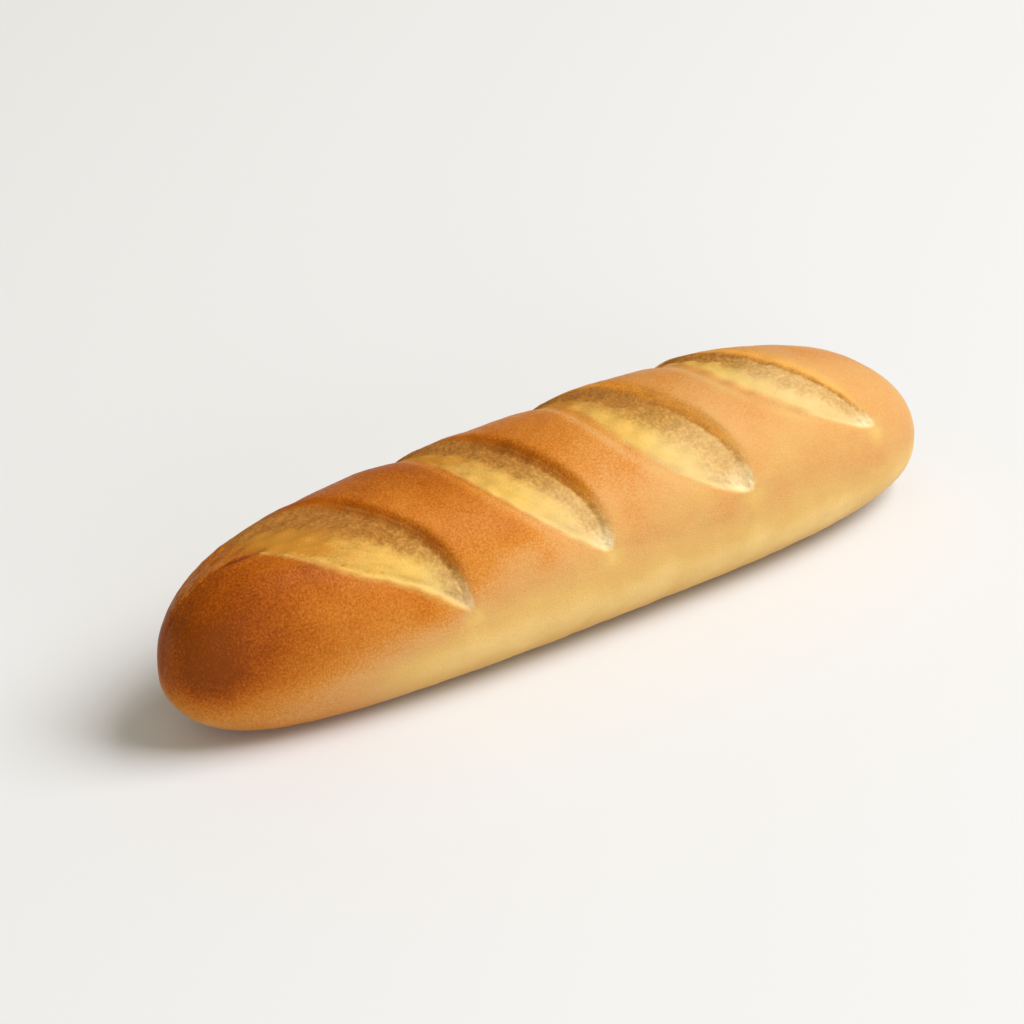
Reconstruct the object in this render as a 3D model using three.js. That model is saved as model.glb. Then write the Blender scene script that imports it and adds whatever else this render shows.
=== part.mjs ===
// A slashed baguette: one solid of bread that lies on its flat base.
// +X runs along the loaf, +Z is up, and the origin is the middle of the base. Millimetres.
//
// Every point of the crust is named by its place x along the loaf and its angle round the loaf:
// 0 is the crown, -90 the front, 90 the back and 180 the middle of the base.

import * as THREE from 'three';

// ---- Driving dimensions -------------------------------------------------------------------

const loafLength = 280;
const loafWidth = 69.8;
const loafHeight = 60.6; // of the middle, without the crests
const bellyHeight = 24.8; // where the loaf is widest
const crownPower = 2.25; // roundness of the section above the belly, 2 is an ellipse
const basePower = 2.5; // and below it
const baseSink = 1.12; // the lower half would reach this much deeper, and the floor cuts it flat
const rising = 0.11; // the crown climbs by this share from the middle to the far end

// How bluntly each end closes in plan and in side view, where 2 is an ellipse and more is
// blunter, how far its tip lies to the front of the middle, and how far below the belly.
const nearEnd = { plan: 2.3, side: 7.8, bow: 3.2, sag: 0 };
const farEnd = { plan: 3.5, side: 3.4, bow: 2, sag: 9 };

// A slash is a leaf-shaped opening between two edges. They meet at its tip, low on the front,
// and at its tail behind the crown. Each edge is a Bezier curve over [angle, x], and its two
// pulls bend it. Along the soft edge the crust slopes in, and the lip stands up over the crumb.
const slashes = [
  {
    tip: [-86, -53], tail: [60, -134], depth: 3.3, groove: 0.6,
    softPulls: [[-20, -98], [-92, -69]], lipPulls: [[-54, -49], [50, -74]],
  },
  {
    tip: [-81, -4], tail: [82, -52], depth: 3.3, groove: 0.3,
    softPulls: [[-30, -45], [-21, -36]], lipPulls: [[-58, 5], [35, -24]],
  },
  {
    tip: [-77, 50], tail: [70, 3], depth: 3.1, groove: 0.3,
    softPulls: [[-47, 0], [4, 10]], lipPulls: [[-58, 56.5], [12, 38]],
  },
  {
    tip: [-66, 106], tail: [60, 56], depth: 1.7, groove: 0.3,
    softPulls: [[-35, 52], [-4, 53]], lipPulls: [[-49, 110.5], [6, 76]],
  },
];

const crustSlope = { drop: 2, reach: 7 }; // the crust sinks by drop at a soft edge
const crumbStep = 1.6; // the crumb starts this deep at the soft edge
const grooveWidth = 1.3; // between the soft edge and the crumb, as deep as the slash's groove
const lipCrest = { rise: 0.5, reach: 8 }; // the crust swells by rise behind a lip
// A lip rolls over from outside it to the crumb inside it, steeper and steeper by this power.
// Past the crown the roll is as wide as behind.
const lipRoll = { outside: 1.8, inside: 3.4, behind: 12, power: 2.2 };
const lipOverhang = { lean: 0.6, width: 1.8 }; // a lip leans over the crumb
const fullOpening = 9; // an opening this wide along the loaf has its whole depth
const shallowTip = { share: 0.2, reach: 30 }; // it starts with this share of its depth
const crumbLumps = { size: 0.18, spacing: 9 };
const swells = { size: 0.25, spacing: 60 }; // the crust is uneven by hand and by rising
const swellsEnd = { from: 60, to: 105 }; // and even low on the sides, where the dough lay in its tray

// ---- Small helpers ------------------------------------------------------------------------

const { clamp, lerp, degToRad, smoothstep } = THREE.MathUtils;

const bell = (value, width) => Math.exp(-((value / width) ** 2));
const fade = (distance, reach) => Math.exp(-Math.max(distance, 0) / reach);
const signedPower = (value, power) => Math.sign(value) * Math.abs(value) ** power;

// ---- The plain loaf -----------------------------------------------------------------------

// The share of its full size that a section keeps at this place along the loaf.
function closing(place, power) {
  return Math.sqrt(Math.max(1 - Math.abs(place) ** power, 0));
}

function crustPoint(x, angle) {
  const place = clamp(x / (loafLength / 2), -1, 1);
  const end = place < 0 ? nearEnd : farEnd;
  const across = Math.sin(degToRad(angle));
  const up = Math.cos(degToRad(angle));
  const power = 2 / (up >= 0 ? crownPower : basePower);

  const halfWidth = loafWidth / 2 * closing(place, end.plan);
  const above = (loafHeight - bellyHeight) * closing(place, end.side) * (1 + rising * place);
  const below = bellyHeight * baseSink * closing(place, end.side);

  const y = halfWidth * signedPower(across, power) - end.bow * place ** 2;
  const z = bellyHeight + (up >= 0 ? above : below) * signedPower(up, power) - end.sag * place ** 4;
  return new THREE.Vector3(x, y, z);
}

// How the crust runs at a point: its normal, and how many millimetres it covers for each
// millimetre of x and for each degree of angle.
function crustFrame(x, angle) {
  const step = 0.05;
  const alongX = crustPoint(x + step, angle).sub(crustPoint(x - step, angle)).divideScalar(2 * step);
  const round = crustPoint(x, angle + step).sub(crustPoint(x, angle - step)).divideScalar(2 * step);
  const normal = round.clone().cross(alongX).normalize().negate();
  return { normal, perX: Math.max(alongX.length(), 0.001), perDegree: Math.max(round.length(), 0.001) };
}

// ---- The slashes --------------------------------------------------------------------------

const softEdge = ({ tip, tail, softPulls }) => [tip, ...softPulls, tail];
const lipEdge = ({ tip, tail, lipPulls }) => [tip, ...lipPulls, tail];

function bezier(points, share, axis) {
  const [a, b, c, d] = points.map((point) => point[axis]);
  const rest = 1 - share;
  return a * rest ** 3 + 3 * b * rest * rest * share + 3 * c * rest * share * share + d * share ** 3;
}

// Where an edge lies along the loaf at an angle. Its angle only grows, so halving finds it.
function edgeX(edge, angle) {
  let low = 0;
  let high = 1;
  for (let round = 0; round < 24; round += 1) {
    const middle = (low + high) / 2;
    if (bezier(edge, middle, 0) < angle) low = middle;
    else high = middle;
  }
  return bezier(edge, (low + high) / 2, 1);
}

// Millimetres from a point to an edge, square to the edge, and positive past it along +X.
function edgeDistance(edge, x, angle, { perX, perDegree }) {
  const slope = edgeX(edge, angle + 0.5) - edgeX(edge, angle - 0.5);
  const steepness = Math.hypot(1 / perX, slope / perDegree);
  return (x - edgeX(edge, angle)) / steepness;
}

// What one slash does to the crust at a point: how far it moves out and how far along the loaf.
function slashRelief(slash, x, angle, frame) {
  const { tip, tail } = slash;
  const within = clamp(angle, tip[0], tail[0]);
  const soft = softEdge(slash);
  const lip = lipEdge(slash);
  const pastSoft = edgeDistance(soft, x, within, frame);
  const pastLip = edgeDistance(lip, x, within, frame);

  const toEnd = Math.min(angle - tip[0], tail[0] - angle) * frame.perDegree;
  const opening = smoothstep(edgeX(lip, within) - edgeX(soft, within), 0, fullOpening);
  const openness = opening * smoothstep(toEnd, -1, 4);
  const sinking = opening * smoothstep(toEnd, 0, 14);

  const gap = Math.max(pastSoft - pastLip, 0.01);
  const share = clamp(pastSoft / gap, 0, 1);
  const groove = slash.groove * bell(pastSoft - 1.4, grooveWidth);
  const depth = slash.depth * lerp(shallowTip.share, 1, smoothstep(toEnd, 0, shallowTip.reach));
  const floor = -lerp(Math.min(crumbStep, depth), depth, share) - groove;
  const nearSoft = -crustSlope.drop * fade(-pastSoft, crustSlope.reach) * sinking;
  const nearLip = lipCrest.rise * fade(pastLip - 1, lipCrest.reach) * openness;
  const crust = lerp(nearSoft, nearLip, smoothstep(share, 0.3, 0.7));
  const insideSoft = smoothstep(pastSoft, -1.2, 2.4);
  const foot = lerp(lipRoll.inside, lipRoll.behind, smoothstep(angle, 0, 45));
  const overLip = clamp((lipRoll.outside - pastLip) / (lipRoll.outside + foot), 0, 1);
  const inside = insideSoft * overLip ** lipRoll.power;

  return {
    out: lerp(crust, openness * floor, inside),
    along: -lipOverhang.lean * openness * bell(pastLip - 0.6, lipOverhang.width),
    crumb: openness * inside,
  };
}

// Three waves that never line up stand for what is lumpy: coarse ones for the whole crust and
// fine ones for the torn crumb.
function lumps({ size, spacing }, x, angle) {
  const turn = (2 * Math.PI) / spacing;
  const along = Math.sin(turn * (x + 0.31 * angle));
  const aslant = Math.sin(turn * (0.62 * x - 0.55 * angle) + 1.3);
  const across = Math.sin(turn * (0.21 * x + 0.83 * angle) + 0.4);
  return size * (along + aslant + across);
}

function bakedPoint(x, angle) {
  const frame = crustFrame(x, angle);
  const point = crustPoint(x, angle);
  let crumb = 0;
  for (const slash of slashes) {
    const relief = slashRelief(slash, x, angle, frame);
    point.addScaledVector(frame.normal, relief.out);
    point.x += relief.along;
    crumb = Math.max(crumb, relief.crumb);
  }
  const roundness = closing(x / (loafLength / 2), 2); // the lumps die away at both ends
  const upper = 1 - smoothstep(Math.abs(angle), swellsEnd.from, swellsEnd.to);
  const unevenness = upper * lumps(swells, x, angle) + crumb * lumps(crumbLumps, x, angle);
  point.addScaledVector(frame.normal, roundness * unevenness);
  point.z = Math.max(point.z, 0);
  return point;
}

// ---- The mesh -----------------------------------------------------------------------------

// Rows of points run round the loaf and follow the edges of the slashes. Past a slash's ends
// its two seams stay a little apart, and under the loaf they even out between tip and tail.
const seamGap = 9;
const seamReach = 0.6; // of the way to the end of the loaf, at most

function seams(slash, angle) {
  const { tip, tail } = slash;
  const within = clamp(angle, tip[0], tail[0]);
  const soft = edgeX(softEdge(slash), within);
  const lip = edgeX(lipEdge(slash), within);
  const beyond = Math.max(tip[0] - angle, angle - tail[0], 0);
  const end = angle < within ? tip : tail;
  const underneath = smoothstep(beyond / (180 - Math.abs(end[0])), 0, 1);
  const middle = lerp((soft + lip) / 2, (tip[1] + tail[1]) / 2, underneath);
  const room = seamReach * (loafLength / 2 - Math.abs(middle));
  const half = Math.min(Math.max(lip - soft, seamGap) / 2, Math.max((lip - soft) / 2, room));
  return { soft: middle - half, lip: middle + half };
}

// Places across an opening, as shares from its soft seam to its lip seam, and places on the
// crust from one slash's lip to the next slash's soft edge.
const openingShares = [0, 0.1, 0.26, 0.44, 0.62, 0.76, 0.87, 0.95];
const crustShares = [0, 0.08, 0.18, 0.34, 0.52, 0.7, 0.84, 0.94];
const endShares = { near: [0.05, 0.12, 0.21, 0.31, 0.41, 0.51, 0.61, 0.71, 0.8, 0.88, 0.95], far: 12 };

function rows() {
  const tipX = loafLength / 2;
  const list = endShares.near.map((share) => (angle) => {
    const { soft } = seams(slashes[0], angle);
    return lerp(-tipX, soft, share ** 1.6);
  });
  slashes.forEach((slash, index) => {
    for (const share of openingShares) {
      list.push((angle) => {
        const { soft, lip } = seams(slash, angle);
        return lerp(soft, lip, share);
      });
    }
    const next = slashes[index + 1];
    if (!next) return;
    for (const share of crustShares) {
      list.push((angle) => lerp(seams(slash, angle).lip, seams(next, angle).soft, share));
    }
  });
  const last = slashes[slashes.length - 1];
  for (let row = 0; row < endShares.far; row += 1) {
    const share = 1 - row / endShares.far;
    list.push((angle) => lerp(tipX, seams(last, angle).lip, share ** 1.6));
  }
  return list;
}

// Angles of the points of a row: close together over the crown and wide apart underneath.
function angles() {
  const list = [];
  for (let angle = -90; angle < 78; angle += 6) list.push(angle);
  list.push(80, 91, 101, 111, 121, 131, 141, 151, 165, 180, 195, 209, 219, 229, 239, 249, 260);
  return list.map((angle) => (angle > 180 ? angle - 360 : angle));
}

function loafGeometry() {
  const rowList = rows();
  const angleList = angles();
  const count = angleList.length;
  const positions = [...crustPoint(-loafLength / 2, 0).toArray()];
  for (const rowX of rowList) {
    for (const angle of angleList) positions.push(...bakedPoint(rowX(angle), angle).toArray());
  }
  positions.push(...crustPoint(loafLength / 2, 0).toArray());

  const first = (row) => 1 + row * count;
  const lastPoint = first(rowList.length);
  const faces = [];
  for (let column = 0; column < count; column += 1) {
    const next = (column + 1) % count;
    faces.push(0, first(0) + column, first(0) + next);
    for (let row = 0; row < rowList.length - 1; row += 1) {
      const [a, b] = [first(row) + column, first(row) + next];
      const [c, d] = [first(row + 1) + next, first(row + 1) + column];
      faces.push(a, c, b, a, d, c);
    }
    faces.push(lastPoint, first(rowList.length - 1) + next, first(rowList.length - 1) + column);
  }

  const geometry = new THREE.BufferGeometry();
  geometry.setAttribute('position', new THREE.Float32BufferAttribute(positions, 3));
  geometry.setIndex(faces);
  geometry.computeBoundingBox();
  const { min, max } = geometry.boundingBox;
  geometry.translate(-(min.x + max.x) / 2, -(min.y + max.y) / 2, -min.z);
  geometry.computeVertexNormals();
  return geometry;
}

// ---- The part -----------------------------------------------------------------------------

const crustMaterial = new THREE.MeshStandardMaterial({ color: '#cf8f45', roughness: 0.6, metalness: 0 });

const loaf = new THREE.Mesh(loafGeometry(), crustMaterial);
loaf.name = 'baguette';

const baguette = new THREE.Group();
baguette.add(loaf);

export default baguette;
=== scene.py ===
import math

import bpy
import numpy as np
from mathutils import Matrix, Vector, noise


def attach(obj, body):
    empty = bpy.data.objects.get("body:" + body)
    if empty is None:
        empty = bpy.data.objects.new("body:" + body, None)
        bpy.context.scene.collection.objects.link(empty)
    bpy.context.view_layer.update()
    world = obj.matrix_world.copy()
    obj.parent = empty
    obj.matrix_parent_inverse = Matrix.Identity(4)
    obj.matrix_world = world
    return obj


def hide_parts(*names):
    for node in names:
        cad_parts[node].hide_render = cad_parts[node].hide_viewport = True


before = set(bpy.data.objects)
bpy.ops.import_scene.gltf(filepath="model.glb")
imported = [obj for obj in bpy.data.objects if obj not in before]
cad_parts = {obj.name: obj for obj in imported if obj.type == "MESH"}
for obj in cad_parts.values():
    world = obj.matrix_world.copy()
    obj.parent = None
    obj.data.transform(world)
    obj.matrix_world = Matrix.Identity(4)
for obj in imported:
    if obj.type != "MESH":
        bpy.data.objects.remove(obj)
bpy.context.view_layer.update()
mm = 0.001


# small helpers for numbers and arrays

def clip01(value):
    return np.clip(value, 0, 1)


def smooth(value, low, high):  # 0 up to low and 1 from high on
    share = clip01((value - low) / (high - low))
    return share * share * (3 - 2 * share)


def mix(low, high, share):
    return low + (high - low) * share


def bell(value, width):  # 1 at 0 and almost nothing at twice the width
    return np.exp(-((value / width) ** 2))


def fade(distance, reach):
    return np.exp(-np.maximum(distance, 0) / reach)


def signedPower(value, power):
    return np.sign(value) * np.abs(value) ** power


def linearColour(hexCode):
    channels = [int(hexCode[i:i + 2], 16) / 255 for i in (1, 3, 5)]
    return [c / 12.92 if c <= 0.04045 else ((c + 0.055) / 1.055) ** 2.4 for c in channels] + [1]


# The plain loaf, with the sizes of the CAD solid in millimetres. A place on the crust is
# x along the loaf and an angle round it: 0 crown, -90 front, 90 back, 180 base.

loaf = {
    "length": 280, "width": 69.8, "height": 60.6, "belly": 24.8,
    "crownPower": 2.25, "basePower": 2.5,  # roundness of the section above and below the belly
    "baseSink": 1.12,  # the lower half would reach this much deeper, and the floor cuts it flat
    "rising": 0.11,  # the crown climbs by this share from the middle to the far end
    # how bluntly each end closes in plan and in side view, and how far off the middle its tip is
    "nearEnd": {"plan": 2.3, "side": 7.8, "bow": 3.2, "sag": 0},
    "farEnd": {"plan": 3.5, "side": 3.4, "bow": 2, "sag": 9},
    "swells": {"size": 0.25, "spacing": 60, "from": 60, "to": 105},  # they fade out low on the sides
}

# A slash is a leaf-shaped opening from its tip, low on the front, to its tail behind the crown.
# Its soft edge and its lip are Bezier curves over (angle, x), and two pulls bend each. The rest
# is how it baked: crumbStart is how far past the soft edge the crumb shows, fresher is how far
# up it stays pale, and tornFrom is the share of the opening from which it is torn. The crust is
# browner by lipBrown along the lip and paler by softPale along the soft edge, and nodules
# stand on the first soft edge alone.

slashes = [
    {"tip": (-86, -53), "tail": (60, -134), "depth": 3.3, "groove": 0.6,
     "softPulls": [(-20, -98), (-92, -69)], "lipPulls": [(-54, -49), (50, -74)],
     "crumbStart": 0.3, "fresher": -0.13, "tornFrom": 0.24,
     "lipBrown": 0.14, "softPale": 0, "nodules": 1},
    {"tip": (-81, -4), "tail": (82, -52), "depth": 3.3, "groove": 0.3,
     "softPulls": [(-30, -45), (-21, -36)], "lipPulls": [(-58, 5), (35, -24)],
     "crumbStart": 0.6, "fresher": 0.11, "tornFrom": 0.22,
     "lipBrown": 0.12, "softPale": 0.12, "nodules": 0},
    {"tip": (-77, 50), "tail": (70, 3), "depth": 3.1, "groove": 0.3,
     "softPulls": [(-47, 0), (4, 10)], "lipPulls": [(-58, 56.5), (12, 38)],
     "crumbStart": 2.6, "fresher": 0.2, "tornFrom": 0.2,
     "lipBrown": -0.04, "softPale": 0.12, "nodules": 0},
    {"tip": (-66, 106), "tail": (60, 56), "depth": 1.7, "groove": 0.3,
     "softPulls": [(-35, 52), (-4, 53)], "lipPulls": [(-49, 110.5), (6, 76)],
     "crumbStart": 3, "fresher": 0.47, "tornFrom": 0.16,
     "lipBrown": -0.08, "softPale": 0.12, "nodules": 0},
]

cut = {
    "crustDrop": 2, "crustReach": 7,  # the crust sinks in along a soft edge
    "crumbStep": 1.6, "grooveAt": 1.4, "grooveWidth": 1.3,  # the crumb starts this deep, at a groove
    "crestRise": 0.5, "crestReach": 8,  # the crust swells behind a lip
    "wallInside": 3.4, "wallOutside": 1.8, "wallRoll": 2.2,  # a lip rolls over, steeper and steeper
    "wallBehind": 12,  # and more gently behind the crown
    "lean": 0.6, "leanAt": 0.6, "leanWidth": 1.8,  # it leans over the crumb
    "fullOpening": 9, "tipDepth": 0.2, "tipReach": 30,  # a narrow opening and a tip are shallow
    "lumps": {"size": 0.18, "spacing": 9},
}


def closing(place, power):
    return np.sqrt(np.maximum(1 - np.abs(place) ** power, 0))


def crustPoint(x, angle):
    place = np.clip(x / (loaf["length"] / 2), -1, 1)
    near, far = loaf["nearEnd"], loaf["farEnd"]
    plan, side, bow, sag = (np.where(place < 0, near[key], far[key]) for key in near)
    across, up = np.sin(np.radians(angle)), np.cos(np.radians(angle))
    power = np.where(up >= 0, 2 / loaf["crownPower"], 2 / loaf["basePower"])
    above = (loaf["height"] - loaf["belly"]) * closing(place, side) * (1 + loaf["rising"] * place)
    below = loaf["belly"] * loaf["baseSink"] * closing(place, side)
    y = loaf["width"] / 2 * closing(place, plan) * signedPower(across, power) - bow * place ** 2
    z = loaf["belly"] + np.where(up >= 0, above, below) * signedPower(up, power) - sag * place ** 4
    return np.stack([x, y, z], -1)


# The outward normal of the plain crust, and the millimetres in one step of x and of angle.

def crustFrame(x, angle, step=0.05):
    alongX = (crustPoint(x + step, angle) - crustPoint(x - step, angle)) / (2 * step)
    around = (crustPoint(x, angle + step) - crustPoint(x, angle - step)) / (2 * step)
    normal = np.cross(alongX, around)
    normal /= np.linalg.norm(normal, axis=-1, keepdims=True)
    return normal, np.linalg.norm(alongX, axis=-1), np.linalg.norm(around, axis=-1)


def edgeX(slash, pulls, angle):
    share = np.linspace(0, 1, 600)
    corners = np.array([slash["tip"], *slash[pulls], slash["tail"]], float)
    weights = [(1 - share) ** 3, 3 * share * (1 - share) ** 2, 3 * share ** 2 * (1 - share), share ** 3]
    curve = np.tensordot(np.array(weights).T, corners, 1)
    return np.interp(angle, curve[:, 0], curve[:, 1])


def edgeDistance(slash, pulls, x, angle, perX, perDegree):
    slope = edgeX(slash, pulls, angle + 0.5) - edgeX(slash, pulls, angle - 0.5)
    return (x - edgeX(slash, pulls, angle)) / np.hypot(1 / perX, slope / perDegree)


def lumps(settings, x, angle):
    turn = 2 * math.pi / settings["spacing"]
    waves = np.sin(turn * (x + 0.31 * angle)) + np.sin(turn * (0.62 * x - 0.55 * angle) + 1.3)
    return settings["size"] * (waves + np.sin(turn * (0.21 * x + 0.83 * angle) + 0.4))


# How one slash lies over every point: millimetres past its soft edge and past its lip, the
# share of the way between them, the climb from its tip (0) to the crown (1), how open it is
# there, and how it moves the crust.

def slashFields(slash, x, angle, perX, perDegree):
    within = np.clip(angle, slash["tip"][0], slash["tail"][0])
    pastSoft = edgeDistance(slash, "softPulls", x, within, perX, perDegree)
    pastLip = edgeDistance(slash, "lipPulls", x, within, perX, perDegree)
    gapX = edgeX(slash, "lipPulls", within) - edgeX(slash, "softPulls", within)
    toEnd = np.minimum(angle - slash["tip"][0], slash["tail"][0] - angle) * perDegree
    opening = smooth(gapX, 0, cut["fullOpening"])
    openness = opening * smooth(toEnd, -1, 4)
    sinking = opening * smooth(toEnd, 0, 14)

    share = clip01(pastSoft / np.maximum(pastSoft - pastLip, 0.01))
    groove = slash["groove"] * bell(pastSoft - cut["grooveAt"], cut["grooveWidth"])
    depth = slash["depth"] * mix(cut["tipDepth"], 1, smooth(toEnd, 0, cut["tipReach"]))
    floorHeight = -mix(np.minimum(cut["crumbStep"], depth), depth, share) - groove
    sunkCrust = -cut["crustDrop"] * fade(-pastSoft, cut["crustReach"]) * sinking
    crest = cut["crestRise"] * fade(pastLip - 1, cut["crestReach"]) * openness
    crustHeight = mix(sunkCrust, crest, smooth(share, 0.3, 0.7))
    wall = mix(cut["wallInside"], cut["wallBehind"], smooth(angle, 0, 45))
    overLip = clip01((cut["wallOutside"] - pastLip) / (cut["wallOutside"] + wall))
    inside = smooth(pastSoft, -1.2, 2.4) * overLip ** cut["wallRoll"]
    return {
        "pastSoft": pastSoft, "pastLip": pastLip, "openness": openness, "share": share,
        "climb": (angle - slash["tip"][0]) / -slash["tip"][0],
        "inside": openness * inside,
        "height": mix(crustHeight, openness * floorHeight, inside),
        "lean": -cut["lean"] * openness * bell(pastLip - cut["leanAt"], cut["leanWidth"]),
    }


# The skin is a grid whose rows run round the loaf along the slashes' edges. Its columns are
# (from angle, to angle, number), closest together where the slashes are.

skin = {
    "nearRows": 44, "openingRows": 34, "crustRows": 28, "farRows": 44, "endCrowding": 1.6,
    "columns": [(-94, 78, 232), (78, 134, 46), (134, 226, 24), (226, 266, 20)],
    "seamGap": 9, "seamReach": 0.6,  # beyond a slash its two rows stay this far apart
}


def seams(slash, angle):
    (tipAngle, tipX), (tailAngle, tailX) = slash["tip"], slash["tail"]
    within = np.clip(angle, tipAngle, tailAngle)
    soft, lip = edgeX(slash, "softPulls", within), edgeX(slash, "lipPulls", within)
    beyond = np.maximum(np.maximum(tipAngle - angle, angle - tailAngle), 0)
    reach = np.where(angle < within, 180 - abs(tipAngle), 180 - abs(tailAngle))
    middle = mix((soft + lip) / 2, (tipX + tailX) / 2, smooth(beyond / reach, 0, 1))
    half = (lip - soft) / 2
    room = skin["seamReach"] * (loaf["length"] / 2 - np.abs(middle))
    half = np.maximum(half, np.minimum(skin["seamGap"] / 2, room))
    return middle - half, middle + half


def skinGrid():
    angle = np.concatenate([np.linspace(start, stop, number, endpoint=False)
                            for start, stop, number in skin["columns"]])
    angle = np.where(angle > 180, angle - 360, angle)
    tipX = loaf["length"] / 2
    edges = [seams(slash, angle) for slash in slashes]
    nearShares = (np.arange(skin["nearRows"]) + 0.6) / skin["nearRows"]
    farShares = 1 - np.arange(skin["farRows"]) / skin["farRows"]
    openingShares = np.linspace(0, 1, skin["openingRows"], endpoint=False)
    crustShares = np.linspace(0, 1, skin["crustRows"], endpoint=False)
    rows = [mix(-tipX, edges[0][0], share ** skin["endCrowding"]) for share in nearShares]
    for index, (soft, lip) in enumerate(edges):
        rows += [mix(soft, lip, share) for share in openingShares]
        if index + 1 < len(edges):
            nextSoft = edges[index + 1][0]
            rows += [mix(lip, nextSoft, share) for share in crustShares]
    rows += [mix(tipX, edges[-1][1], share ** skin["endCrowding"]) for share in farShares]
    rowX = np.array(rows)
    return rowX, np.broadcast_to(angle, rowX.shape)


def noiseAt(points, spacing, octaves, shift=0):
    evenness, finer = 0.9, 2.1  # each octave is weaker by the first and finer by the second
    offset = Vector((shift, 2.3 * shift, -1.7 * shift))
    flat = points.reshape(-1, 3) / spacing
    values = [noise.fractal(Vector(place) + offset, evenness, finer, octaves) for place in flat]
    return np.array(values).reshape(points.shape[:-1])


print("skin: working out the loaf")
x, angle = skinGrid()
normal, perX, perDegree = crustFrame(x, angle)
base = crustPoint(x, angle)

patchy = noiseAt(base, spacing=16, octaves=3)
ragged = noiseAt(base, spacing=4.5, octaves=2, shift=5)
tornGrain = noiseAt(base, spacing=1.3, octaves=2, shift=9)
tornPits = noiseAt(base, spacing=2.6, octaves=2, shift=14)
dimples = noiseAt(base, spacing=7, octaves=3, shift=30)

# What tearing and baking leave in and along a slash, and the painted shade under its lip. Sizes are in
# millimetres, and amounts are shares of the way from pale to brown.

tear = {
    "leastCrumb": 0.01, "edgeBlend": 0.6, "edgeWander": 0.5, "lipWander": 0.4,  # a ragged border
    "tipCover": -0.3, "lipCover": -2.9,  # and a lip covers it up to here
    "tornWander": 0.05, "tornTip": 0.35, "tornBlend": 0.4,  # its low tip is torn right across
    "stripe": 0.12, "stripeAt": 0.17, "stripeWidth": 0.1,  # a browner stripe by the soft edge
    "mostBaked": 1.3, "tornPaler": 0.06, "tornLeast": 0.25, "paintedShadeUnderLip": 0.5,  # painted shade makes it darkest under the lip
    "noduleAt": 0.2, "noduleWander": 0.3, "noduleWidth": 0.8,
    "softPaleAt": 1.6, "softPaleWidth": 2, "lipBrownAt": 2, "lipBrownWidth": 1.6,
    "lipAt": 2.5, "lipWidth": 1.7, "tipGlowWidth": 4,
}


def slashLooks(slash, lie):
    climb, openness, share = lie["climb"], lie["openness"], lie["share"]
    pastSoft, pastLip = lie["pastSoft"], lie["pastLip"]

    start = slash["crumbStart"] * smooth(climb, 0.1, 0.6)
    blend = tear["edgeBlend"] + 0.5 * start
    end = mix(tear["tipCover"], tear["lipCover"], smooth(climb, 0.05, 0.5))
    wideOpen = smooth(openness, 0.05, 0.6)
    crumb = smooth(pastSoft + tear["edgeWander"] * ragged, start - blend, start + blend) * wideOpen
    crumb *= 1 - smooth(pastLip + tear["lipWander"] * ragged, end - 1.1, end + 0.9)
    showing = crumb > tear["leastCrumb"]

    towardTip = 1 - smooth(climb, 0.05, 0.4)
    tornShare = share + tear["tornWander"] * (ragged + patchy) + tear["tornTip"] * towardTip
    torn = smooth(tornShare, slash["tornFrom"] - 0.04, slash["tornFrom"] + tear["tornBlend"])

    baked = np.clip(climb - slash["fresher"], 0, tear["mostBaked"])
    midway = smooth(climb, 0.15, 0.45) * (1 - smooth(climb, 0.7, 0.95))
    stripe = tear["stripe"] * bell(share - tear["stripeAt"], tear["stripeWidth"]) * midway
    tornTone = np.maximum(baked - tear["tornPaler"], tear["tornLeast"] * smooth(climb, 0.06, 0.25))
    # painted shade: torn crumb close under the lip is darkened where the lip shades it
    shade = tear["paintedShadeUnderLip"] * smooth(pastLip, -4.8, -3.2) * smooth(climb, 0.15, 0.5)

    nodules = bell(pastSoft + tear["noduleAt"] + tear["noduleWander"] * ragged, tear["noduleWidth"])
    nodules *= slash["nodules"] * wideOpen * clip01(0.5 + 0.4 * tornPits) * (1 - smooth(angle, -8, 6))
    flecked = smooth(pastSoft, 0.3, 1) * (1 - smooth(pastSoft, 1.5, 4)) * smooth(climb, 0.25, 0.5)
    softPale = slash["softPale"] * bell(pastSoft + tear["softPaleAt"], tear["softPaleWidth"])
    softPale *= smooth(climb, 0.1, 0.4)
    lipBrown = slash["lipBrown"] * bell(pastLip + tear["lipBrownAt"], tear["lipBrownWidth"])
    lipBrown *= smooth(climb, 0.15, 0.6)
    onLip = smooth(openness, 0.1, 0.7) * bell(pastLip + tear["lipAt"], tear["lipWidth"])
    toTip = np.hypot((angle - slash["tip"][0]) * perDegree, (x - slash["tip"][1]) * perX)
    return {
        "crumb": crumb, "showing": showing, "torn": torn * showing,
        "tone": baked + stripe, "tornTone": clip01(tornTone + shade),
        "nodules": nodules, "flecked": slash["nodules"] * flecked, "lip": onLip * smooth(climb, 0.1, 0.5),
        "edgeBrown": openness * (lipBrown - softPale), "tipGlow": bell(toTip, tear["tipGlowWidth"]),
    }


# Over the slashes these fields are added up, or the largest holds, or that of the slash whose
# crumb shows there. Across and along are places in the crumb, for its streaks.

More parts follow.
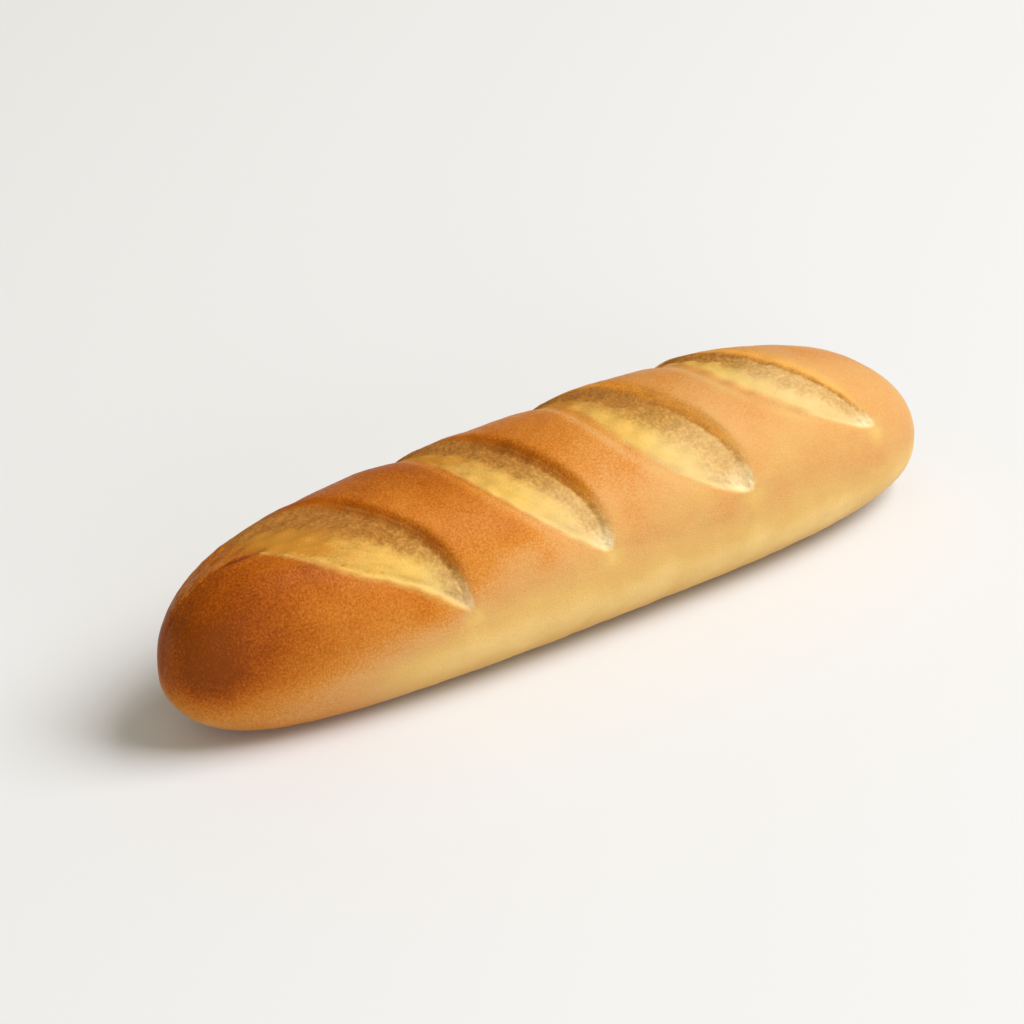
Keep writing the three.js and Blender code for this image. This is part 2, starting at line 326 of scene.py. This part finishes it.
addedUp = ("height", "lean", "edgeBrown")
largest = ("inside", "crumb", "torn", "nodules", "flecked", "tipGlow", "lip")
inItsCrumb = ("tone", "tornTone", "across", "along")
fields = {key: np.zeros_like(x) for key in addedUp + largest + inItsCrumb}
toNextSoft = np.full_like(x, 60)  # along the loaf, millimetres to the next slash's soft edge
for index, slash in enumerate(slashes):
    lie = slashFields(slash, x, angle, perX, perDegree)
    here = lie | slashLooks(slash, lie)
    here["across"] = lie["pastSoft"] + 40 * index  # each slash has streaks of its own
    here["along"] = angle * perDegree
    for key in addedUp:
        fields[key] += here[key]
    for key in largest:
        fields[key] = np.maximum(fields[key], here[key])
    for key in inItsCrumb:
        fields[key] = np.where(here["showing"], here[key], fields[key])
    ahead = edgeX(slash, "softPulls", angle) - x
    toNextSoft = np.where(ahead > 0, np.minimum(toNextSoft, ahead), toNextSoft)

# The first slash runs out along a crease over the near end, with wrinkled crust behind it.
# The crease is a low fold in front of a groove, in millimetres, and it climbs by some degrees.

crease = {"fold": 0.6, "foldAt": -1.4, "groove": 1.3, "grooveAt": 0.7, "grooveWidth": 0.8,
          "startsAt": -2, "climbs": 12}
creaseAngle = crease["startsAt"] + crease["climbs"] * smooth(-x, 108, 134)
pastCrease = (angle - creaseAngle) * perDegree
onCrease = (1 - smooth(x, -109, -103)) * smooth(x, -139, -130)
behindCrease = smooth(pastCrease + 0.5 * ragged, -0.6, 0.6) * (1 - smooth(x + 2 * ragged, -112, -104))
behindCrease *= smooth(x, -138, -128) * (1 - smooth(angle, 70, 90))
wrinkles = behindCrease * (1 - smooth(angle, 30, 60)) * noiseAt(base * [0.3, 1, 1], 2.2, 2, shift=21)
creaseHeight = crease["fold"] * bell(pastCrease - crease["foldAt"], 1)
creaseHeight -= crease["groove"] * bell(pastCrease - crease["grooveAt"], crease["grooveWidth"])

# fine relief in millimetres, for what is too fine for the CAD solid
relief = {"tornGrain": 0.3, "tornPits": 0.2, "nodules": 0.4, "wrinkles": 0.35, "dimples": 0.2,
          "skin": 0.05}
roundness = closing(x / (loaf["length"] / 2), 2)  # nothing is uneven at the two tips
upper = 1 - smooth(np.abs(angle), loaf["swells"]["from"], loaf["swells"]["to"])
coarse = upper * lumps(loaf["swells"], x, angle) + fields["inside"] * lumps(cut["lumps"], x, angle)
tornRelief = relief["tornGrain"] * tornGrain + relief["tornPits"] * tornPits
tornRelief *= fields["torn"] * fields["crumb"] * (1 - 0.7 * smooth(angle, 8, 35))
noduleRelief = relief["nodules"] * fields["nodules"] * (1 + 0.8 * tornPits)
crustRelief = (relief["dimples"] * dimples + relief["skin"] * ragged) * (1 - fields["crumb"])
height = fields["height"] + tornRelief + noduleRelief + onCrease * creaseHeight
height += relief["wrinkles"] * wrinkles + roundness * (coarse + crustRelief)
points = base + normal * height[..., None]
points[..., 0] += fields["lean"]
points[..., 2] = np.maximum(points[..., 2], 0)

# How brown the crust is, from 0 on the low side to 1 at the near end. The oven browns the near
# end most, then the crown, and the brown reaches further down the side near that end and just
# before each slash. Blotches are (x, angle, size, amount), and a negative one is paler. Painted
# shade darkens the crease's groove, and a painted sheen makes the very near tip paler.

browningAndPaintedLight = {
    "nearEnd": 0.9, "belowNearEnd": 0.44, "heel": 0.75, "nearCrown": 0.8, "farCrown": 0.45,
    # nearTip is a painted sheen that makes the very near tip paler
    "side": 0.33, "lowSide": 0.06, "underside": 0.2, "backOfCrown": 0.07, "nearTip": -0.12,
    "patches": 0.07, "speckles": 0.02, "tipGlow": -0.2, "wrinkledCrust": 0.72, "wrinkles": 0.15,
    # crease is painted shade in the crease's groove
    "crease": 0.5, "flecks": 0.6, "edgeWander": 10, "edgeFray": 3,
    "blotches": [
        (-131, -80, 8, 0.2), (-112, -32, 18, 0.07), (-98, -36, 4, 0.05), (-34, -50, 5, 0.08),
        (-27, -72, 4, 0.1), (6, -62, 6, 0.07), (-70, -76, 5, 0.08), (14, -36, 5, 0.05),
        (66, -30, 5, 0.06), (-50, 6, 9, 0.06), (40, -66, 6, 0.05), (75, -70, 10, 0.04),
        (105, -78, 12, 0.05), (118, -30, 22, 0.04), (-63, -9, 12, -0.08), (79, 0, 12, -0.06),
        (-134, -38, 8, 0.05), (-107, -118, 9, -0.07), (-83, -66, 14, -0.06), (-70, -112, 14, -0.08),
    ],
}

down = np.abs(angle)  # degrees down from the crown
wander = browningAndPaintedLight["edgeWander"] * patchy + browningAndPaintedLight["edgeFray"] * ragged
beforeSlash = 1 - smooth(toNextSoft, 4, 30)
crownEdge = 50 - 0.26 * x - 12 * smooth(x, 70, 110) + 12 * (beforeSlash - 0.4)
onCrown = 1 - smooth(down + wander, crownEdge - 14, crownEdge + 20)
onCrown *= 1 - 0.4 * smooth(down, 0, 60)
heelEdge = -60 - 33 * smooth(down, 66, 102)
onHeel = 1 - smooth(x + wander, heelEdge - 50, heelEdge + 50)
crown = mix(browningAndPaintedLight["nearCrown"], browningAndPaintedLight["farCrown"], smooth(x, -80, 60))
nearEnd = browningAndPaintedLight["nearEnd"] - browningAndPaintedLight["belowNearEnd"] * (1 - smooth(base[..., 2], 8, 27))
brown = mix(crown, mix(browningAndPaintedLight["heel"], nearEnd, smooth(-x, 92, 138)), onHeel)
side = mix(browningAndPaintedLight["side"], browningAndPaintedLight["lowSide"], smooth(down, 78, 102))
side = mix(side, browningAndPaintedLight["underside"], smooth(down, 108, 128))
bakeAndPaintedLight = side + (brown - side) * (1 - (1 - onCrown) * (1 - onHeel))
for spotX, spotAngle, size, amount in browningAndPaintedLight["blotches"]:
    bakeAndPaintedLight += amount * bell(np.hypot(x - spotX, (angle - spotAngle) * perDegree) + 2 * ragged, size)
bakeAndPaintedLight += browningAndPaintedLight["patches"] * patchy + browningAndPaintedLight["speckles"] * ragged
bakeAndPaintedLight += fields["edgeBrown"] + browningAndPaintedLight["tipGlow"] * fields["tipGlow"]
bakeAndPaintedLight += browningAndPaintedLight["backOfCrown"] * onCrown * smooth(angle, -22, 18)
# painted sheen: the very near tip is made paler, as its edge catches a sheen
bakeAndPaintedLight += browningAndPaintedLight["nearTip"] * smooth(-x, 133, 139)
bakeAndPaintedLight = mix(bakeAndPaintedLight, browningAndPaintedLight["wrinkledCrust"] + browningAndPaintedLight["wrinkles"] * wrinkles, behindCrease)
# painted shade: the crease's groove is darkened in colour, where the fold shades it
paintedShadeInCreaseGroove = onCrease * bell(pastCrease - 0.8, 0.8) * smooth(x, -128, -114)
bakeAndPaintedLight = clip01(bakeAndPaintedLight + browningAndPaintedLight["crease"] * paintedShadeInCreaseGroove)

# the crumb ends where the crease begins, and small tears fleck its yellow part
beforeCrease = smooth(x + 2 * ragged, -112, -104) * (1 - onCrease * bell(pastCrease - 0.8, 1))
crumb = fields["crumb"] * np.where(angle > creaseAngle - 12, beforeCrease, 1)
flecks = crumb * smooth(tornGrain + 0.5 * ragged, 0.4, 0.8) * fields["flecked"]
tone = fields["tone"] + browningAndPaintedLight["flecks"] * flecks


# The mesh, closed at the two tips. It keeps the masks that the material mixes by.

def buildSkin(name, points, masks, weave):
    rowCount, columnCount = points.shape[:2]
    tips = [crustPoint(np.array(way * loaf["length"] / 2), np.array(0.0)) for way in (-1, 1)]
    vertices = np.concatenate([points.reshape(-1, 3), tips])
    first = vertices.min(0)
    last = vertices.max(0)
    vertices -= np.array([(first[0] + last[0]) / 2, (first[1] + last[1]) / 2, first[2]])
    nearTip, farTip = rowCount * columnCount, rowCount * columnCount + 1

    lengths = np.linalg.norm(np.diff(points, axis=0), axis=-1).mean(1)
    widths = np.linalg.norm(np.roll(points, -1, 1) - points, axis=-1).mean(0)
    u = np.concatenate([[0], np.cumsum(lengths)])
    u = 0.02 + 0.96 * u / u[-1]  # the two tips take the rest
    v = np.concatenate([[0], np.cumsum(widths)]) / widths.sum()

    faces, uvs = [], []
    for column in range(columnCount):
        after = (column + 1) % columnCount
        v0, v1 = v[column], v[column + 1]
        faces.append((nearTip, column, after))
        uvs += [(0, (v0 + v1) / 2), (u[0], v0), (u[0], v1)]
        for row in range(rowCount - 1):
            low, high = row * columnCount, (row + 1) * columnCount
            faces.append((low + column, high + column, high + after, low + after))
            uvs += [(u[row], v0), (u[row + 1], v0), (u[row + 1], v1), (u[row], v1)]
        end = (rowCount - 1) * columnCount
        faces.append((farTip, end + after, end + column))
        uvs += [(1, (v0 + v1) / 2), (u[-1], v1), (u[-1], v0)]

    mesh = bpy.data.meshes.new(name)
    mesh.from_pydata((vertices * mm).tolist(), [], faces)
    mesh.uv_layers.new(name="OFBake").uv.foreach_set("vector", np.array(uvs, np.float32).ravel())
    for key, values in masks.items():
        layer = mesh.attributes.new(key, "FLOAT", "POINT")
        layer.data.foreach_set("value", np.append(values.ravel(), [values[0].mean(), values[-1].mean()]))
    layer = mesh.attributes.new("weave", "FLOAT_VECTOR", "POINT")
    layer.data.foreach_set("vector", np.append(weave.reshape(-1, 3), np.zeros((2, 3)), 0).ravel())
    mesh.shade_smooth()
    skinObject = bpy.data.objects.new(name, mesh)
    bpy.context.collection.objects.link(skinObject)
    return skinObject


print("skin: building the mesh")
masks = {"bakeAndPaintedLight": bakeAndPaintedLight, "crumb": crumb, "torn": fields["torn"], "tone": tone,
         "tornTone": fields["tornTone"], "nodules": fields["nodules"], "lip": fields["lip"]}
streakStretch = 1.6  # streaks are this much longer than wide
weave = np.stack([fields["across"], fields["along"] / streakStretch, np.zeros_like(x)], -1)
skinObject = buildSkin("baguetteSkin", points, masks, weave)
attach(skinObject, "root")
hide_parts("baguette")


# materials; a new node gets its settings and links, and hands on the socket that is used next

def addNode(tree, kind, inputs=None, stops=(), output=0, **settings):
    node = tree.nodes.new("ShaderNode" + kind)
    for key, value in settings.items():
        setattr(node, key, value)
    for key, value in (inputs or {}).items():
        if isinstance(value, bpy.types.NodeSocket):
            tree.links.new(value, node.inputs[key])
        else:
            node.inputs[key].default_value = value
    if stops:
        elements = node.color_ramp.elements
        elements[0].position = stops[0][0]
        elements[1].position = stops[-1][0]
        for position, colour in stops[1:-1]:
            elements.new(position)
        for element, (position, colour) in zip(elements, stops):
            element.color = linearColour(colour)
    return node.outputs[output] if node.outputs else node


# Wheat crust browned in the oven: satin, gold where it is pale and red-brown where it is dark,
# with a fine mottle and orange lips. Crumb torn open by the rise: matt, cream and yellow, pitted,
# with painted shade darkening its pits.
# Each ramp runs from the palest to the most baked. Blisters of the crust are about 0.3 mm and
# grains of the crumb 0.2 mm, too fine to show, so both are drawn about twice as coarse. Light
# goes a little way into bread, so its shaded side stays warm.

crustLook = {
    "crust": [(0, "#e1bf7b"), (0.15, "#d3aa62"), (0.3, "#cc9d5d"), (0.42, "#ca9153"), (0.55, "#c37e30"),
              (0.68, "#b76a1d"), (0.8, "#a4560a"), (0.9, "#934403"), (1, "#7c3a03")],
    "lip": [(0.2, "#ecae55"), (0.5, "#d48928"), (0.8, "#a3560a")],
    "yellow": [(0, "#d9ba7e"), (0.25, "#d6b676"), (0.45, "#d5b266"), (0.62, "#d3a954"), (0.8, "#c7994b"),
               (1, "#b47a2a")],
    "torn": [(0, "#ebd4a6"), (0.25, "#cba66c"), (0.5, "#b78a47"), (0.75, "#ac7634"), (1, "#ad7436")],
    # the pits' ramp is painted shade: the torn crumb as it looks in its hollows
    "tornPits": [(0, "#dcc08e"), (0.25, "#b8905a"), (0.5, "#9d6f34"), (0.75, "#8e5921"), (1, "#8a5820")],
    "nodules": "#c99d50",
    "blisterSpacing": 0.7, "grainSpacing": 0.5, "pitSpacing": 1.2, "streakSpacing": 2.6,  # millimetres
    "mottle": 0.115, "streaks": 0.09, "tornFray": 0.3,  # how far each pattern shifts a ramp or a mask
    "yellowMottle": 0.7, "lipStrength": 0.9,
    "crustRoughness": 0.42, "crumbRoughness": 0.8, "ior": 1.45, "specular": 0.1,
    "grainDepth": 0.26, "grainStrength": 0.8,
    "lightShare": 0.04, "lightDepth": 2, "lightColour": (0.9, 0.45, 0.2),
}


def bakedCrust():
    material = bpy.data.materials.new("ovenBakedWheatCrust")
    material.use_nodes = True
    tree = material.node_tree
    tree.nodes.clear()
    look = crustLook
    mask = {key: addNode(tree, "Attribute", output="Fac", attribute_name=key) for key in masks}
    placeInCrumb = addNode(tree, "Attribute", output="Vector", attribute_name="weave")
    place = addNode(tree, "TexCoord", output="Object")

    # the crust and its lips, with less mottle on the pale side; a Mix node's colours are 6 and 7
    blisters = addNode(tree, "TexNoise", {"Vector": place, "Scale": 1 / (look["blisterSpacing"] * mm),
                                          "Detail": 3, "Roughness": 0.6})
    mottle = addNode(tree, "MapRange", {"Value": blisters, "From Min": 0.3, "From Max": 0.7,
                                        "To Min": -look["mottle"], "To Max": look["mottle"]})
    mottleShare = addNode(tree, "MapRange", {"Value": mask["bakeAndPaintedLight"], "From Min": 0.15, "From Max": 0.5,
                                             "To Min": 0.2, "To Max": 1})
    speckled = addNode(tree, "Math", {0: mottle, 1: mottleShare, 2: mask["bakeAndPaintedLight"]},
                       operation="MULTIPLY_ADD")
    plainCrust = addNode(tree, "ValToRGB", {"Fac": speckled}, look["crust"])
    lipCrust = addNode(tree, "ValToRGB", {"Fac": speckled}, look["lip"])
    lipShare = addNode(tree, "Math", {0: mask["lip"], 1: look["lipStrength"]}, operation="MULTIPLY")
    anyCrust = addNode(tree, "Mix", {"Factor": lipShare, 6: plainCrust, 7: lipCrust}, output=2,
                       data_type="RGBA")

    # torn crumb with darker pits, which are painted shade in its small hollows
    pitShadeNoise = addNode(tree, "TexNoise", {"Vector": place, "Scale": 1 / (look["pitSpacing"] * mm),
                                      "Detail": 4, "Roughness": 0.7})
    pitShadeShare = addNode(tree, "MapRange", {"Value": pitShadeNoise, "From Min": 0.36, "From Max": 0.7})
    tornLight = addNode(tree, "ValToRGB", {"Fac": mask["tornTone"]}, look["torn"])
    tornPitShade = addNode(tree, "ValToRGB", {"Fac": mask["tornTone"]}, look["tornPits"])
    tornCrumb = addNode(tree, "Mix", {"Factor": pitShadeShare, 6: tornLight, 7: tornPitShade}, output=2,
                        data_type="RGBA")

    # smooth yellow crumb with streaks along the slash
    streaks = addNode(tree, "TexNoise", {"Vector": placeInCrumb, "Scale": 1 / look["streakSpacing"],
                                         "Detail": 3, "Roughness": 0.6})
    streakShift = addNode(tree, "MapRange", {"Value": streaks, "From Min": 0.3, "From Max": 0.7,
                                             "To Min": -look["streaks"], "To Max": look["streaks"]})
    streaked = addNode(tree, "Math", {0: mask["tone"], 1: streakShift}, operation="ADD")
    yellowTone = addNode(tree, "Math", {0: mottle, 1: look["yellowMottle"], 2: streaked},
                         operation="MULTIPLY_ADD")
    yellowCrumb = addNode(tree, "ValToRGB", {"Fac": yellowTone}, look["yellow"])

    # the two kinds of crumb fray into each other along the pits
    fray = addNode(tree, "MapRange", {"Value": pitShadeNoise, "From Min": 0.35, "From Max": 0.65,
                                      "To Min": -look["tornFray"], "To Max": look["tornFray"]})
    frayed = addNode(tree, "Math", {0: mask["torn"], 1: fray}, operation="ADD", use_clamp=True)
    tornShare = addNode(tree, "Math", {0: frayed, 1: mask["torn"]}, operation="MULTIPLY")
    anyCrumb = addNode(tree, "Mix", {"Factor": tornShare, 6: yellowCrumb, 7: tornCrumb}, output=2,
                       data_type="RGBA")

    bread = addNode(tree, "Mix", {"Factor": mask["crumb"], 6: anyCrust, 7: anyCrumb}, output=2,
                    data_type="RGBA")
    colour = addNode(tree, "Mix", {"Factor": mask["nodules"], 6: bread, 7: linearColour(look["nodules"])},
                     output=2, data_type="RGBA")
    roughness = addNode(tree, "MapRange", {"Value": mask["crumb"], "To Min": look["crustRoughness"],
                                           "To Max": look["crumbRoughness"]})
    grain = addNode(tree, "TexNoise", {"Vector": place, "Scale": 1 / (look["grainSpacing"] * mm),
                                       "Detail": 2, "Roughness": 0.5})
    bump = addNode(tree, "Bump", {"Height": grain, "Distance": look["grainDepth"] * mm,
                                  "Strength": look["grainStrength"]})
    shader = addNode(tree, "BsdfPrincipled", {
        "Base Color": colour, "Roughness": roughness, "Normal": bump, "IOR": look["ior"],
        "Specular IOR Level": look["specular"], "Subsurface Weight": look["lightShare"],
        "Subsurface Radius": look["lightColour"], "Subsurface Scale": look["lightDepth"] * mm})
    addNode(tree, "OutputMaterial", {"Surface": shader})
    return material


print("materials: crust and crumb")
skinObject.data.materials.append(bakedCrust())


# The floor, the light and the camera. A large soft box high on the right lights the loaf, and a
# low one in front and the world's warm white fill the shade.

studio = {
    "floorSize": 8, "floorDrop": 0.0002, "floorColour": "#dadbdf", "floorRoughness": 0.9,
    "worldColour": "#fff7dd", "worldStrength": 0.42, "lightColour": "#ffffff",
    "lights": [  # metres to the right of the loaf, behind it and above it, as the camera sees it
        {"name": "keyLight", "right": 2.22, "back": 0.05, "up": 2.9, "size": 2.4, "power": 152},
        {"name": "fillLight", "right": 0.8, "back": -1.9, "up": 0.2, "size": 1.6, "power": 20},
    ],
}

# degrees from the side and above it, metres, and the lens with its shift in the frame
view = {"turn": 36.2, "rise": 30, "distance": 0.952, "targetHeight": 0.0303,
        "lens": 109.5, "sensorWidth": 36, "shiftX": -0.0426, "shiftY": -0.0026}


def aim(position, target):
    back = (position - target).normalized()
    right = Vector((0, 0, 1)).cross(back).normalized()
    up = back.cross(right)
    axes = Matrix((right, up, back)).transposed()
    return Matrix.Translation(position) @ axes.to_4x4()


print("studio: floor, light and camera")
bpy.ops.mesh.primitive_plane_add(size=studio["floorSize"], location=(0, 0, -studio["floorDrop"]))
floor = bpy.context.object
floor.name = "floor"
paper = bpy.data.materials.new("mattWhitePaper")  # an even sweep without shine
paper.use_nodes = True
paperShader = paper.node_tree.nodes["Principled BSDF"]
paperShader.inputs["Base Color"].default_value = linearColour(studio["floorColour"])
paperShader.inputs["Roughness"].default_value = studio["floorRoughness"]
floor.data.materials.append(paper)

world = bpy.data.worlds.new("studio")
bpy.context.scene.world = world
world.use_nodes = True
background = world.node_tree.nodes["Background"]
background.inputs["Color"].default_value = linearColour(studio["worldColour"])
background.inputs["Strength"].default_value = studio["worldStrength"]

turn, rise = math.radians(view["turn"]), math.radians(view["rise"])
target = Vector((0, 0, view["targetHeight"]))
toCamera = Vector((-math.sin(turn) * math.cos(rise), -math.cos(turn) * math.cos(rise), math.sin(rise)))
camera = bpy.data.objects.new("camera", bpy.data.cameras.new("camera"))
camera.matrix_world = aim(target + toCamera * view["distance"], target)
camera.data.lens = view["lens"]
camera.data.sensor_width = view["sensorWidth"]
camera.data.shift_x = view["shiftX"]
camera.data.shift_y = view["shiftY"]
bpy.context.collection.objects.link(camera)
bpy.context.scene.camera = camera

rightWay = Vector((math.cos(turn), -math.sin(turn), 0))
backWay = Vector((math.sin(turn), math.cos(turn), 0))
for settings in studio["lights"]:
    lamp = bpy.data.lights.new(settings["name"], "AREA")
    lamp.size = settings["size"]
    lamp.energy = settings["power"]
    lamp.color = linearColour(studio["lightColour"])[:3]
    lampObject = bpy.data.objects.new(settings["name"], lamp)
    position = rightWay * settings["right"] + backWay * settings["back"] + Vector((0, 0, settings["up"]))
    lampObject.matrix_world = aim(position, target)
    bpy.context.collection.objects.link(lampObject)

bpy.context.scene.view_settings.view_transform = "Standard"
